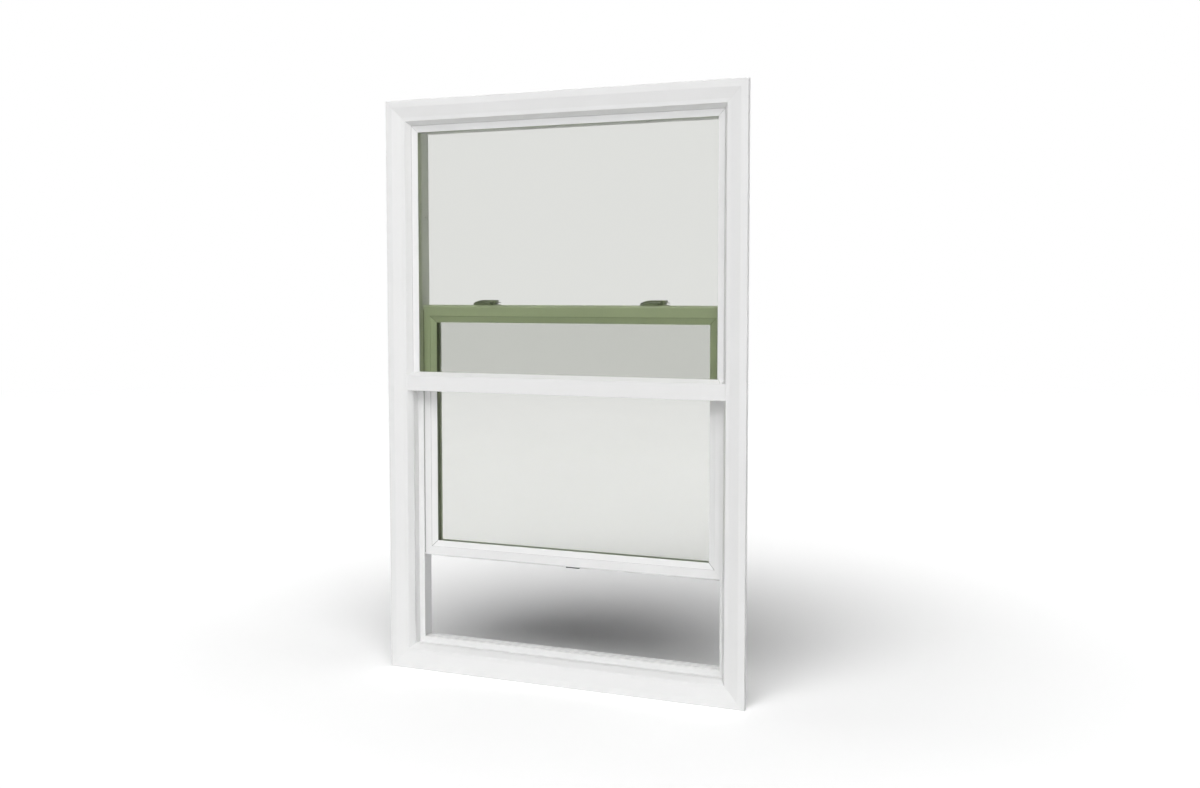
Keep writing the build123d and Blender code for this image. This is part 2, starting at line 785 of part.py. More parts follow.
# Sash locks on the top rail, with their keepers on the back of the meeting rail
lock_front = sash_front + lock_front_setback
lock_middle_y = lock_front + lock_width / 2
pivot_y = sash_front + lock_pivot_setback
cam_bottom = sash_top + lock_floor + cam_gap
cam_thickness = lock_height - lock_floor - lock_roof - 2 * cam_gap
lever_bottom = sash_top + lock_height + cam_gap
keeper_middle = cam_bottom + cam_thickness / 2 - sash_raised
lock_screw_places = []
keeper_screw_places = []
for side, middle in (("left", -lock_spread), ("right", lock_spread)):
    pivot_x = middle + lock_pivot_offset
    pivot = (pivot_x, pivot_y, sash_top)
    plan = Plane(origin=(middle, lock_middle_y, sash_top)) * SlotOverall(lock_length, lock_width)
    base = extrude(plan, amount=lock_height)
    base = fillet(base.edges().group_by(Axis.Z)[-1], lock_round)

    # The base falls away to its left end, under the lever's dipped tip
    left_end = middle - lock_length / 2
    fall_x = middle - lock_fall_start
    fall_slope = (lock_height - lock_end_height) / (fall_x - left_end)
    side_y = lock_front - lock_width
    fall_cut = [
        (fall_x, side_y, sash_top + lock_height),
        (left_end, side_y, sash_top + lock_end_height),
        (left_end - overrun, side_y, sash_top + lock_end_height),
        (left_end - overrun, side_y, sash_top + lock_height + overrun),
        (fall_x, side_y, sash_top + lock_height + overrun),
    ]
    base -= extrude(flat(fall_cut), amount=3 * lock_width, dir=(0, 1, 0))
    sweep_edge = pivot_x + cam_reach + cam_sweep_room
    base -= block(
        pivot_x - cam_radius - cam_sweep_room,
        sweep_edge,
        lock_front - overrun,
        lock_front + lock_width + overrun,
        sash_top + lock_floor,
        sash_top + lock_height - lock_roof,
    )
    base -= rod(pivot, (0, 0, 1), lock_shaft_radius + lock_shaft_clearance, lock_height + overrun) & block(
        pivot_x - lock_length,
        pivot_x + lock_length,
        lock_front,
        lock_front + lock_width,
        sash_top + lock_floor,
        sash_top + lock_height + overrun,
    )
    left_screw = (left_end + lock_screw_left_inset, lock_middle_y, sash_top + lock_screw_left_height)
    right_screw = (middle + lock_screw_right_offset, lock_middle_y, sash_top + lock_height - lock_roof)
    for place in (left_screw, right_screw):
        base -= small_screw_hole(place, (0, 0, -1))
        base -= rod(place, (0, 0, 1), screw_head_radius + screw_fit, lock_height)
        sash_top_rail -= small_screw_hole(place, (0, 0, -1))
        lock_screw_places.append(place)
    save(base, f"lock_base_{side}")

    # Cam at rest points into the room; half a turn brings its tongue into the keeper
    cam_start = (pivot_x, pivot_y, cam_bottom)
    cam = rod(cam_start, (0, 0, 1), cam_radius, cam_thickness)
    tongue_straight = cam_reach - cam_width / 2
    cam += block(
        pivot_x - cam_width / 2,
        pivot_x + cam_width / 2,
        pivot_y,
        pivot_y + tongue_straight,
        cam_bottom,
        cam_bottom + cam_thickness,
    )
    cam += rod((pivot_x, pivot_y + tongue_straight, cam_bottom), (0, 0, 1), cam_width / 2, cam_thickness)
    shaft_length = lever_bottom + lock_shaft_seat - cam_bottom
    cam += rod(cam_start, (0, 0, 1), lock_shaft_radius, shaft_length)
    save(cam, f"lock_cam_{side}")

    # Lever: flat over the hub, then crowned and dipped towards its tip
    tip_x = pivot_x - lever_length
    tip_end = tip_x - lever_tip_radius
    hub_end = pivot_x + lever_hub_radius
    lever_plan = make_hull(
        (Plane(origin=(pivot_x, pivot_y, sash_top)) * Circle(lever_hub_radius)).edges()
        + (Plane(origin=(tip_x, pivot_y, sash_top)) * Circle(lever_tip_radius)).edges()
    )
    lever_top = lever_bottom + lever_thickness
    dip_x = pivot_x - lever_dip_start
    tip_low = lever_bottom - fall_slope * (dip_x - tip_end)
    crown_start = (pivot_x - lever_crown_start, side_y, lever_top)
    crown_end = (tip_end, side_y, tip_low + lever_tip_thickness)
    side_line = Polyline(
        crown_end,
        (tip_end, side_y, tip_low),
        (dip_x, side_y, lever_bottom),
        (hub_end, side_y, lever_bottom),
        (hub_end, side_y, lever_top),
        crown_start,
    )
    crown = TangentArc(crown_start, crown_end, tangent=(-1, 0, 0))
    lever_side = make_face(side_line.edges() + crown.edges())
    lever = extrude(lever_plan, amount=lever_top - sash_top, dir=(0, 0, 1))
    lever &= extrude(lever_side, amount=3 * lock_width, dir=(0, 1, 0))
    crown_faces = [face for face in lever.faces() if face.normal_at().Z > 0.5]
    crown_edges = [edge for face in crown_faces for edge in face.edges()]
    lever_rim = [edge for edge in crown_edges if sum(edge.is_same(other) for other in crown_edges) == 1]
    lever = fillet(lever_rim, lever_round)
    lever -= rod((pivot_x, pivot_y, lever_bottom), (0, 0, 1), lock_shaft_radius, lock_shaft_seat)
    save(lever, f"lock_lever_{side}")

    # Keeper: a plate with a slot for the tongue
    keeper_plane = Plane(origin=(pivot_x, rail_back, keeper_middle), x_dir=(1, 0, 0), z_dir=(0, -1, 0))
    keeper_plan = keeper_plane * RectangleRounded(keeper_length, keeper_height, keeper_round)
    keeper = extrude(keeper_plan, amount=-keeper_thickness)
    keeper -= block(
        pivot_x - keeper_slot_length / 2,
        pivot_x + keeper_slot_length / 2,
        rail_back,
        rail_back + keeper_thickness,
        keeper_middle - cam_thickness / 2 - keeper_slot_room,
        keeper_middle + cam_thickness / 2 + keeper_slot_room,
    )
    for sign in (-1, 1):
        screw_x = pivot_x + sign * (keeper_length / 2 - keeper_screw_inset)
        place = (screw_x, rail_back + keeper_thickness, keeper_middle)
        keeper -= small_screw_hole(place, (0, -1, 0))
        meeting_rail -= small_screw_hole(place, (0, -1, 0))
        keeper_screw_places.append(place)
    save(keeper, f"keeper_{side}")
save(Compound(children=[small_screw(place, (0, 0, -1)) for place in lock_screw_places]), "lock_screws")
save(Compound(children=[small_screw(place, (0, -1, 0)) for place in keeper_screw_places]), "keeper_screws")
save(sash_top_rail, "sash_top_rail")
save(meeting_rail, "meeting_rail")

# Finger lift: a plate on the bottom rail's room side that drops past the sill riser and turns inward
lift_seat = sash_bottom + lift_seat_rise
lift_low = sash_bottom - lift_drop
lift_outline = [
    (sash_back, lift_seat),
    (sash_back, lift_seat + lift_rise),
    (sash_back + lift_plate, lift_seat + lift_rise),
    (sash_back + lift_plate, lift_low + lift_plate),
    (sash_back + lift_plate + lift_reach, lift_low + lift_plate),
    (sash_back + lift_plate + lift_reach, lift_low),
    (sash_back + lift_relief, lift_low),
    (sash_back + lift_relief, lift_seat),
]
lift_rounds = [0, lift_round, lift_round, lift_round, lift_round, lift_round, lift_round, 0]
sash_lift = along_x(lift_outline, lift_width / 2, lift_rounds)
lift_screw_z = lift_seat + lift_rise / 2
lift_screw_places = [
    (sign * (lift_width / 2 - lift_screw_inset), sash_back + lift_plate, lift_screw_z) for sign in (-1, 1)
]
for place in lift_screw_places:
    sash_lift -= small_screw_hole(place, (0, -1, 0))
    sash_bottom_rail -= small_screw_hole(place, (0, -1, 0))
save(sash_lift, "sash_lift")
save(Compound(children=[small_screw(place, (0, -1, 0)) for place in lift_screw_places]), "lift_screws")
save(sash_bottom_rail, "sash_bottom_rail")
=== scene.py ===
# Looks of a white vinyl single-hung sash window with its frame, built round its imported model.
import math

import bpy
import numpy as np
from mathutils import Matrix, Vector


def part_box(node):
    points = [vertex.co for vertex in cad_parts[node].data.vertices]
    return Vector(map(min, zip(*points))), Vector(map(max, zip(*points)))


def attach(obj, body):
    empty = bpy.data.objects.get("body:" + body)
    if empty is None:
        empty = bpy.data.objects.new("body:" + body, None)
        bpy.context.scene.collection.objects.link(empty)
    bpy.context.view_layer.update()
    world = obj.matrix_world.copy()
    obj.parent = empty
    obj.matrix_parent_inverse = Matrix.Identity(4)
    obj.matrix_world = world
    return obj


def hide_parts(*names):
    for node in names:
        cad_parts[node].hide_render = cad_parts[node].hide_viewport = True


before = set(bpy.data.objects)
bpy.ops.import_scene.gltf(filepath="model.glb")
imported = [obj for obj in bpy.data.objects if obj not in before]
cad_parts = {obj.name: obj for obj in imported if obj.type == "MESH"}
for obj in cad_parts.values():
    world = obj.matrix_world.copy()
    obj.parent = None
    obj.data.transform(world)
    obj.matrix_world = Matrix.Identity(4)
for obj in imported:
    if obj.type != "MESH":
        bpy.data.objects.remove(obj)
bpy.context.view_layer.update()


# Frame head, sill and jambs. One hollow vinyl extrusion with a flange for the wall is sawn at
# 45 degrees, and the four bars are welded into a ring. The weld is planed flush, which leaves a
# hair line across every corner.
VINYL_WHITE = (0.80, 0.80, 0.80, 1.0)
VINYL_WORN = (0.790, 0.790, 0.788, 1.0)
VINYL_ROUGH = (0.34, 0.46)
VINYL_RELIEF = (0.10, 0.0003)
VINYL_GRAIN_SCALE = 1800.0
VINYL_CLOUD_SCALE = 7.0
VINYL_CLOUD_SPAN = (0.35, 0.7)
DIE_LINE_SCALE = 700.0
DIE_LINE_DRAW = 0.012
DIE_LINE_SHARE = 0.7
WELD_SHADE = (0.745, 0.745, 0.745, 1.0)
WELD_WIDTH = 0.0007
LINE_CORE, PAINTED_GAP_CORE = 0.3, 0.6
FACING_SHARE = 0.5
PLASTIC_IOR = 1.5
EVENLY = (1.0, 1.0, 1.0)
NOISE_SPAN = (0.3, 0.7)


def add(tree, kind, inputs, **settings):
    """Add a shader node. Inputs go by socket name or number, and one that is itself a socket is
    linked."""
    made = tree.nodes.new("ShaderNode" + kind)
    for key, value in settings.items():
        setattr(made, key, value)
    for key, value in inputs.items():
        if isinstance(value, bpy.types.NodeSocket):
            tree.links.new(value, made.inputs[key])
        else:
            made.inputs[key].default_value = value
    return made


def new_finish(name, **sockets):
    """Start a finish on one Principled shader, with the values that are the same all over it set
    on its sockets."""
    finish = bpy.data.materials.new(name)
    finish.use_nodes = True
    shader = finish.node_tree.nodes["Principled BSDF"]
    for socket, value in sockets.items():
        shader.inputs[socket.replace("_", " ")].default_value = value
    return finish, finish.node_tree, shader


def object_place(tree):
    """Socket of the place on the piece, in metres in the window's own frame."""
    return add(tree, "TexCoord", {}).outputs["Object"]


def drawn_noise(tree, stretch, scale, detail):
    """Noise on the place times a stretch for each axis: a small number draws the grain out along
    that axis."""
    spot = add(tree, "Mapping", {"Vector": object_place(tree), "Scale": stretch}).outputs[0]
    noise = add(tree, "TexNoise", {"Vector": spot, "Scale": scale, "Detail": detail})
    return noise.outputs["Fac"]


def ranged(tree, value, low, high, to_low, to_high, **settings):
    """Straight map of a value from the span low to high to the span to_low to to_high."""
    inputs = {"Value": value, "From Min": low, "From Max": high, "To Min": to_low, "To Max": to_high}
    return add(tree, "MapRange", inputs, **settings).outputs["Result"]


def smooth(tree, value, low, high, to_low, to_high):
    """The same map with a gentle start and end."""
    return ranged(tree, value, low, high, to_low, to_high, interpolation_type="SMOOTHSTEP")


def blended(tree, factor, first, second):
    """Colour that goes from first to second as the factor goes from 0 to 1."""
    return add(tree, "Mix", {0: factor, 6: first, 7: second}, data_type="RGBA").outputs[2]


def sums(tree, operation, first, second=0.0):
    """One step of arithmetic on sockets or numbers."""
    return add(tree, "Math", {0: first, 1: second}, operation=operation).outputs[0]


def bumped(tree, height, relief):
    """Normal of a surface that rises with the height. The relief is (strength, depth in metres)."""
    inputs = {"Strength": relief[0], "Distance": relief[1], "Height": height}
    return add(tree, "Bump", inputs).outputs[0]


def skin(tree, shader, colour, grain, rough, height, relief):
    """Link a colour, a roughness that follows the grain over the span rough, and a bump that
    follows the height."""
    tree.links.new(colour, shader.inputs["Base Color"])
    tree.links.new(ranged(tree, grain, *NOISE_SPAN, *rough), shader.inputs["Roughness"])
    tree.links.new(bumped(tree, height, relief), shader.inputs["Normal"])


def joint_lines(tree, ring, mitre_width, painted_gap_width):
    """1 on the joints of a ring of four bars and 0 elsewhere. A mitre is where the distance from
    the ring's side equals the distance from its top or bottom. The ring's edge is where the
    smaller of the two is nothing, on faces that look out or in; the line there is painted shade
    of the gap beside the bar. The ring is (half width, middle height, half height)."""
    half_width, middle, half_height = ring
    place = add(tree, "SeparateXYZ", {"Vector": object_place(tree)})
    from_side = sums(tree, "SUBTRACT", half_width, sums(tree, "ABSOLUTE", place.outputs["X"]))
    from_middle = sums(tree, "ABSOLUTE", sums(tree, "SUBTRACT", place.outputs["Z"], middle))
    from_end = sums(tree, "SUBTRACT", half_height, from_middle)
    apart = sums(tree, "ABSOLUTE", sums(tree, "SUBTRACT", from_side, from_end))
    line = smooth(tree, apart, LINE_CORE * mitre_width, mitre_width, 1.0, 0.0)
    if painted_gap_width:
        # The edge line is painted shade of the gap beside the bar, laid only on faces that look out or
        # in.
        from_edge = sums(tree, "MINIMUM", from_side, from_end)
        edge = smooth(tree, from_edge, PAINTED_GAP_CORE * painted_gap_width, painted_gap_width, 1.0, 0.0)
        heading = add(tree, "SeparateXYZ", {"Vector": add(tree, "TexCoord", {}).outputs["Normal"]})
        out_or_in = sums(tree, "ABSOLUTE", heading.outputs["Y"])
        faces_out = sums(tree, "GREATER_THAN", out_or_in, FACING_SHARE)
        line = sums(tree, "MAXIMUM", line, sums(tree, "MULTIPLY", edge, faces_out))
    return line


def vinyl(name, run, ring=None, shade=WELD_SHADE, mitre_width=WELD_WIDTH, painted_gap_width=0.0):
    """White extruded vinyl: satin, with faint die lines drawn out along the bar (run is "X" or
    "Z"), a fine grain in its gloss, and a line of another shade on the joints where the bar is
    one side of a mitred ring. On the frame and sash that line is the weld; on the beads it is
    painted shade of the gap at the mitres and along the outer edge."""
    finish, tree, shader = new_finish(name, IOR=PLASTIC_IOR)
    along = (DIE_LINE_DRAW, 1.0, 1.0) if run == "X" else (1.0, 1.0, DIE_LINE_DRAW)
    die_lines = drawn_noise(tree, along, DIE_LINE_SCALE, 3.0)
    grain = drawn_noise(tree, EVENLY, VINYL_GRAIN_SCALE, 2.0)
    clouds = drawn_noise(tree, EVENLY, VINYL_CLOUD_SCALE, 2.0)
    worn = ranged(tree, clouds, *VINYL_CLOUD_SPAN, 0.0, 1.0)
    colour = blended(tree, worn, VINYL_WHITE, VINYL_WORN)
    lines_height = sums(tree, "MULTIPLY", die_lines, DIE_LINE_SHARE)
    grain_height = sums(tree, "MULTIPLY", grain, 1.0 - DIE_LINE_SHARE)
    height = sums(tree, "ADD", lines_height, grain_height)
    if ring:
        line = joint_lines(tree, ring, mitre_width, painted_gap_width)
        colour = blended(tree, line, colour, shade)
        height = sums(tree, "SUBTRACT", height, line)
    skin(tree, shader, colour, die_lines, VINYL_ROUGH, height, VINYL_RELIEF)
    return finish


def dress(finish, *names):
    """Give CAD nodes this finish in place of the plain one they were packed with."""
    for name in names:
        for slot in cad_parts[name].material_slots:
            slot.material = finish


def dress_ring(label, ring, level, upright, **seam):
    """Dress the level and the upright bars of a mitred ring in vinyl drawn along each of them."""
    dress(vinyl(label + "_level", "X", ring, **seam), *level)
    dress(vinyl(label + "_upright", "Z", ring, **seam), *upright)


def ring_of(right, bottom, top):
    """Half width, middle height and half height of a ring of four bars, from its nodes' boxes."""
    low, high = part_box(bottom)[0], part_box(top)[1]
    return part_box(right)[1].x, (low.z + high.z) / 2, (high.z - low.z) / 2


frame_ring = ring_of("frame_jamb_right", "frame_sill", "frame_head")
frame_uprights = ("frame_jamb_left", "frame_jamb_right")
dress_ring("frame_vinyl", frame_ring, ("frame_head", "frame_sill"), frame_uprights)


# Head cover and sill riser. Two hollow vinyl extrusions, cut square and pressed into the sash
# track at its top and bottom. The closed sash comes down on the riser.
dress(vinyl("insert_vinyl", "X"), "head_cover", "sill_riser")


# Meeting rail. A hollow vinyl bar across the frame at half height, with its ends cut to fit over
# the jambs. It carries the upper glass unit on its top, and its back leg stands close in front of
# the closed sash's top rail.
dress(vinyl("meeting_rail_vinyl", "X"), "meeting_rail")


# Glass units. Each is two panes with a grey foam spacer between them, sealed round the edge and
# stood on rubber setting blocks. The glass is coated: little glare, and a green cast on the light
# that it passes.
PANE_VIEW = (0.9265, 0.9285, 0.9215, 1.0)
PANE_NEAR_LIGHT = (0.797, 0.832, 0.724, 1.0)
PANE_FAR_LIGHT = (0.2, 0.2, 0.2, 1.0)
NEAR_REACH = 0.18
PANE_GLARE = 0.0032
PANE_GLARE_POWER = 5.0
PANE_GLARE_ROUGH = 0.03
FLOAT_LINE_SCALE = 9.0
FLOAT_LINE_RELIEF = (0.02, 0.002)
# The upper spacer's grey is painted paler than the sash spacer's: painted light for the light that
# hardly reaches into the upper unit.
UPPER_FOAM_PAINTED_LIGHT = ((0.50, 0.505, 0.47, 1.0), (0.56, 0.565, 0.53, 1.0))
SASH_FOAM = ((0.185, 0.19, 0.165, 1.0), (0.22, 0.225, 0.20, 1.0))
FOAM_GRAIN_SCALE = 900.0
BLOCK_GREYS = ((0.05, 0.05, 0.05, 1.0), (0.08, 0.08, 0.078, 1.0))
BLOCK_GRAIN_SCALE = 500.0
RUBBER_ROUGH = (0.55, 0.75)
RUBBER_RELIEF = (0.25, 0.0002)
RUBBER_CLOUD_SCALE = 60.0


def pane_glass(name):
    """Clear glass of a closed pane: each face passes a share of the light and mirrors a little of
    it, more with the fifth power of the slant of view. What is seen straight through stays pale.
    Light on its way to the bars close behind the pane turns green, and light on its way to
    anything further off is dimmed only."""
    finish = bpy.data.materials.new(name)
    finish.use_nodes = True
    tree = finish.node_tree
    tree.nodes.remove(tree.nodes["Principled BSDF"])
    path = add(tree, "LightPath", {})
    far = sums(tree, "GREATER_THAN", path.outputs["Ray Length"], NEAR_REACH)
    passed = blended(tree, far, PANE_NEAR_LIGHT, PANE_FAR_LIGHT)
    tint = blended(tree, path.outputs["Is Camera Ray"], passed, PANE_VIEW)
    clear = add(tree, "BsdfTransparent", {"Color": tint}).outputs[0]
    ripple = drawn_noise(tree, EVENLY, FLOAT_LINE_SCALE, 1.0)
    float_lines = bumped(tree, ripple, FLOAT_LINE_RELIEF)
    glare = add(tree, "BsdfGlossy", {"Roughness": PANE_GLARE_ROUGH, "Normal": float_lines}).outputs[0]
    slant = add(tree, "LayerWeight", {"Blend": 0.5}).outputs["Facing"]
    share = sums(tree, "ADD", sums(tree, "POWER", slant, PANE_GLARE_POWER), PANE_GLARE)
    both = add(tree, "MixShader", {0: share, 1: clear, 2: glare})
    tree.links.new(both.outputs[0], tree.nodes["Material Output"].inputs["Surface"])
    return finish


def rubber(name, colour, paler, grain_scale):
    """Matt rubber or sealant: two close greys in clouds, a rough sheen and a fine pebble."""
    finish, tree, shader = new_finish(name, IOR=PLASTIC_IOR)
    clouds = drawn_noise(tree, EVENLY, RUBBER_CLOUD_SCALE, 3.0)
    pebble = drawn_noise(tree, EVENLY, grain_scale, 2.0)
    shade = blended(tree, clouds, colour, paler)
    skin(tree, shader, shade, pebble, RUBBER_ROUGH, pebble, RUBBER_RELIEF)
    return finish


glass_finish = pane_glass("coated_pane_glass")
for unit in ("upper", "sash"):
    dress(glass_finish, unit + "_pane_outer", unit + "_pane_inner")
# Same foam as the sash spacer, with painted light making it paler.
dress(rubber("upper_spacer_foam_painted_light", *UPPER_FOAM_PAINTED_LIGHT, FOAM_GRAIN_SCALE), "upper_spacer")
dress(rubber("sash_spacer_foam", *SASH_FOAM, FOAM_GRAIN_SCALE), "sash_spacer")
block_rubber = rubber("setting_block_rubber", *BLOCK_GREYS, BLOCK_GRAIN_SCALE)
dress(block_rubber, "upper_setting_blocks", "sash_setting_blocks")


# Upper beads. Four vinyl strips that hold the upper glass unit from outside, pressed in beside the
# glass and mitred at the upper corners. Painted shade of the gap shows as a dark line along their
# outer edge and across their mitres.
BEAD_GAP_PAINTED_SHADE = (0.22, 0.22, 0.215, 1.0)
UPPER_BEAD_PAINTED_GAP = dict(shade=BEAD_GAP_PAINTED_SHADE, mitre_width=0.0004, painted_gap_width=0.0006)
upper_bead_ring = ring_of("upper_bead_right", "upper_bead_bottom", "upper_bead_top")
upper_bead_levels = ("upper_bead_top", "upper_bead_bottom")
upper_bead_uprights = ("upper_bead_left", "upper_bead_right")
dress_ring("upper_bead", upper_bead_ring, upper_bead_levels, upper_bead_uprights, **UPPER_BEAD_PAINTED_GAP)


# Sash rails and stiles. Four hollow vinyl bars, mitred and welded as the frame's are. The top
# rail carries the locks and stands a little higher than the mitres, so a stile gives the ring's
# height.
sash_ring = ring_of("sash_stile_right", "sash_stile_right", "sash_stile_right")
sash_levels = ("sash_top_rail", "sash_bottom_rail")
dress_ring("sash_vinyl", sash_ring, sash_levels, ("sash_stile_left", "sash_stile_right"))


# Sash beads. Four vinyl strips that hold the sash's glass unit from outside. They are mitred and
# pressed in dry. Painted shade of the gap shows as a dark line at each corner and along their
# outer edge.
SASH_BEAD_PAINTED_GAP = dict(shade=BEAD_GAP_PAINTED_SHADE, mitre_width=0.0011, painted_gap_width=0.0005)
sash_bead_ring = ring_of("sash_bead_right", "sash_bead_bottom", "sash_bead_top")
sash_bead_levels = ("sash_bead_top", "sash_bead_bottom")
sash_bead_uprights = ("sash_bead_left", "sash_bead_right")
dress_ring("sash_bead", sash_bead_ring, sash_bead_levels, sash_bead_uprights, **SASH_BEAD_PAINTED_GAP)


# Pile strips. Woven polypropylene pile on a stiff backing, stuck along each stile's front and
# along the back of the meeting rail. The fibres brush the face opposite and keep draughts out.
PILE_BACKING = 0.0007
PILE_ROOT, PILE_TIP = 0.36, 0.30
PILE_TUFT = 0.0024
PILE_STEPS_PER_TUFT = 4
PILE_RIPPLE = 0.00016
PILE_PHASE_SLIP = 500.0
PILE_SLOW_SHARE, PILE_SLOW_RATE = 0.5, 0.37
PILE_TOP_SINK = 0.3
PILE_DARK = (0.30, 0.30, 0.29, 1.0)
PILE_PALE = (0.52, 0.52, 0.5, 1.0)
PILE_ROUGH = (0.75, 0.95)
PILE_RELIEF = (0.5, 0.0002)
PILE_HAIR_SCALE = 2600.0
PILE_HAIR_SPAN = (0.35, 0.65)
SHARP_EDGE = 40.0


def surface(name, grids, finish, round_rows=False, sharp=SHARP_EDGE):
    """Make one object of grids of points (rows, columns, 3). Each grid's columns close into a
    ring. Its rows close too where round_rows says so, and otherwise its first and last rings get
    one flat face each. Edges sharper than an angle in degrees stay crisp."""
    points, faces, start = [], [], 0
    for grid in grids:
        rows, columns = grid.shape[:2]
        index = start + np.arange(rows * columns).reshape(rows, columns)
        below = index if round_rows else index[:-1]
        above = np.roll(index, -1, axis=0) if round_rows else index[1:]
        quads = np.stack([below, np.roll(below, -1, 1), np.roll(above, -1, 1), above], axis=-1)
        faces += quads.reshape(-1, 4).tolist()
        if not round_rows:
            faces += [index[0, ::-1].tolist(), index[-1].tolist()]
        points.append(grid.reshape(-1, 3))
        start += rows * columns
    mesh = bpy.data.meshes.new(name)
    mesh.from_pydata(np.concatenate(points).tolist(), [], faces)
    mesh.polygons.foreach_set("use_smooth", np.ones(len(mesh.polygons), bool))
    mesh.set_sharp_from_angle(angle=math.radians(sharp))
    mesh.materials.append(finish)
    piece = bpy.data.objects.new(name, mesh)
    bpy.context.scene.collection.objects.link(piece)
    return piece


def pile_strip(node, run, out):
    """Profile of backing and brush carried along the run. The brush's sides and tip swell and sink
    in tufts: a sine of the place along the run and a slower one, with their phase slipping as the
    fibres rise, times a ripple height."""
    low, high = (np.array(corner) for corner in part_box(node))
    run, out = np.array(run, float), np.array(out, float)
    across = np.cross(out, run)
    size = high - low
    length, width, tall = (float(np.abs(size @ axis)) for axis in (run, across, out))
    foot = (low + high) / 2 - run * length / 2 - out * tall / 2
    half, root, tip = width / 2, PILE_ROOT * width, PILE_TIP * width
    side = np.array([half, half, root, root * 1.04, root * 1.02, tip, tip * 0.5])
    brush_rise = np.array([0.4, 0.75, 0.94, 0.97]) * tall
    rise = np.concatenate([[0.0, PILE_BACKING, PILE_BACKING], brush_rise])
    profile_across = np.concatenate([side, -side[::-1]])
    profile_rise = np.concatenate([rise, rise[::-1]])
    is_brush = (profile_rise > PILE_BACKING * 1.01).astype(float)
    steps = int(length / PILE_TUFT) * PILE_STEPS_PER_TUFT
    place = np.linspace(0.0, length, steps)[:, None]
    phase = 2 * math.pi * place / PILE_TUFT + PILE_PHASE_SLIP * profile_rise[None, :]
    wave = np.sin(phase) + PILE_SLOW_SHARE * np.sin(PILE_SLOW_RATE * phase)
    ripple = PILE_RIPPLE * wave * is_brush[None, :]
    grid_across = profile_across[None, :] + np.sign(profile_across)[None, :] * ripple
    grid_rise = profile_rise[None, :] + PILE_TOP_SINK * np.minimum(ripple, 0.0)
    along = foot + place[..., None] * run
    return along + grid_across[..., None] * across + grid_rise[..., None] * out


def pile_fibre(name):
    """Grey pile: hair-thin streaks between two greys, rough, with a light sheen from the fibre
    ends."""
    finish, tree, shader = new_finish(name, Sheen_Weight=0.4, Sheen_Roughness=0.5)
    hairs = drawn_noise(tree, EVENLY, PILE_HAIR_SCALE, 3.0)
    streaks = ranged(tree, hairs, *PILE_HAIR_SPAN, 0.0, 1.0)
    colour = blended(tree, streaks, PILE_DARK, PILE_PALE)
    skin(tree, shader, colour, hairs, PILE_ROUGH, hairs, PILE_RELIEF)
    return finish


pile_finish = pile_fibre("grey_pile")
for pile_node, pile_run, pile_out, pile_body in (
    ("sash_pile_left", (0, 0, 1), (0, -1, 0), "sash"),
    ("sash_pile_right", (0, 0, 1), (0, -1, 0), "sash"),
    ("meeting_rail_pile", (1, 0, 0), (0, 1, 0), "frame"),
):
    pile = surface(pile_node + "_brush", [pile_strip(pile_node, pile_run, pile_out)], pile_finish)
    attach(pile, pile_body)
    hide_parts(pile_node)


# Bulb seal. A soft vinyl tube of D section, hollow so that it flattens, stuck by its flat side to
# the underside of the sash's bottom rail. It closes on the sill riser.
BULB_WALL = 0.0007
BULB_SIDE_WALL = 1.4 * BULB_WALL
BULB_ARC_POINTS = 28
BULB_FLAT_POINTS = 6
BULB_GREYS = ((0.56, 0.56, 0.54, 1.0), (0.63, 0.63, 0.61, 1.0))
BULB_GRAIN_SCALE = 700.0


def d_ring(half_width, drop, lift):
    """Section of a D lying on its back: half an ellipse below, and a flat above that joins its two
    ends."""
    turn = np.linspace(math.pi, 2 * math.pi, BULB_ARC_POINTS)
    arc = np.stack([half_width * np.cos(turn), drop * np.sin(turn)], axis=1)
    across = np.linspace(half_width, -half_width, BULB_FLAT_POINTS + 2)[1:-1]
    flat = np.stack([across, np.zeros(BULB_FLAT_POINTS)], axis=1)
    return np.concatenate([arc, flat]) + np.array([0.0, lift])


def bulb_tube(node):
    """Torus-like grid: the outer D carried along the run, then the inner D carried back, so the
    open ends close as rims of the wall's thickness."""
    low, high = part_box(node)
    middle_y, half, tall = (low.y + high.y) / 2, (high.y - low.y) / 2, high.z - low.z
    outer = d_ring(half, tall, 0.0)
    inner = d_ring(half - BULB_SIDE_WALL, tall - 2 * BULB_WALL, -BULB_WALL)
    ring = np.stack([outer, outer, inner, inner])
    ends = np.array([low.x, high.x, high.x, low.x])[:, None] + 0.0 * ring[..., 0]
    return np.stack([ends, middle_y + ring[..., 0], high.z + ring[..., 1]], axis=-1)


bulb_vinyl = rubber("bulb_seal_vinyl", *BULB_GREYS, BULB_GRAIN_SCALE)
bulb = surface("sash_bulb_seal_tube", [bulb_tube("sash_bulb_seal")], bulb_vinyl, round_rows=True)
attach(bulb, "sash")
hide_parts("sash_bulb_seal")


# Sash guides and balance shoes. Moulded nylon blocks fixed to the stiles' outer sides: the guides
# steer the sash's upper corners in the jamb tracks, and the shoes at its lower corners take the
# feet of the spiral rods.
NYLON_WHITES = ((0.73, 0.73, 0.70, 1.0), (0.79, 0.79, 0.77, 1.0))
NYLON_IOR = 1.53
NYLON_ROUGH = (0.42, 0.58)
NYLON_RELIEF = (0.2, 0.0002)
NYLON_FLOW = (1.0, 1.0, 0.35)
NYLON_FLOW_SCALE = 45.0
NYLON_SPARK_SCALE = 1400.0
SIDES = ("left", "right")


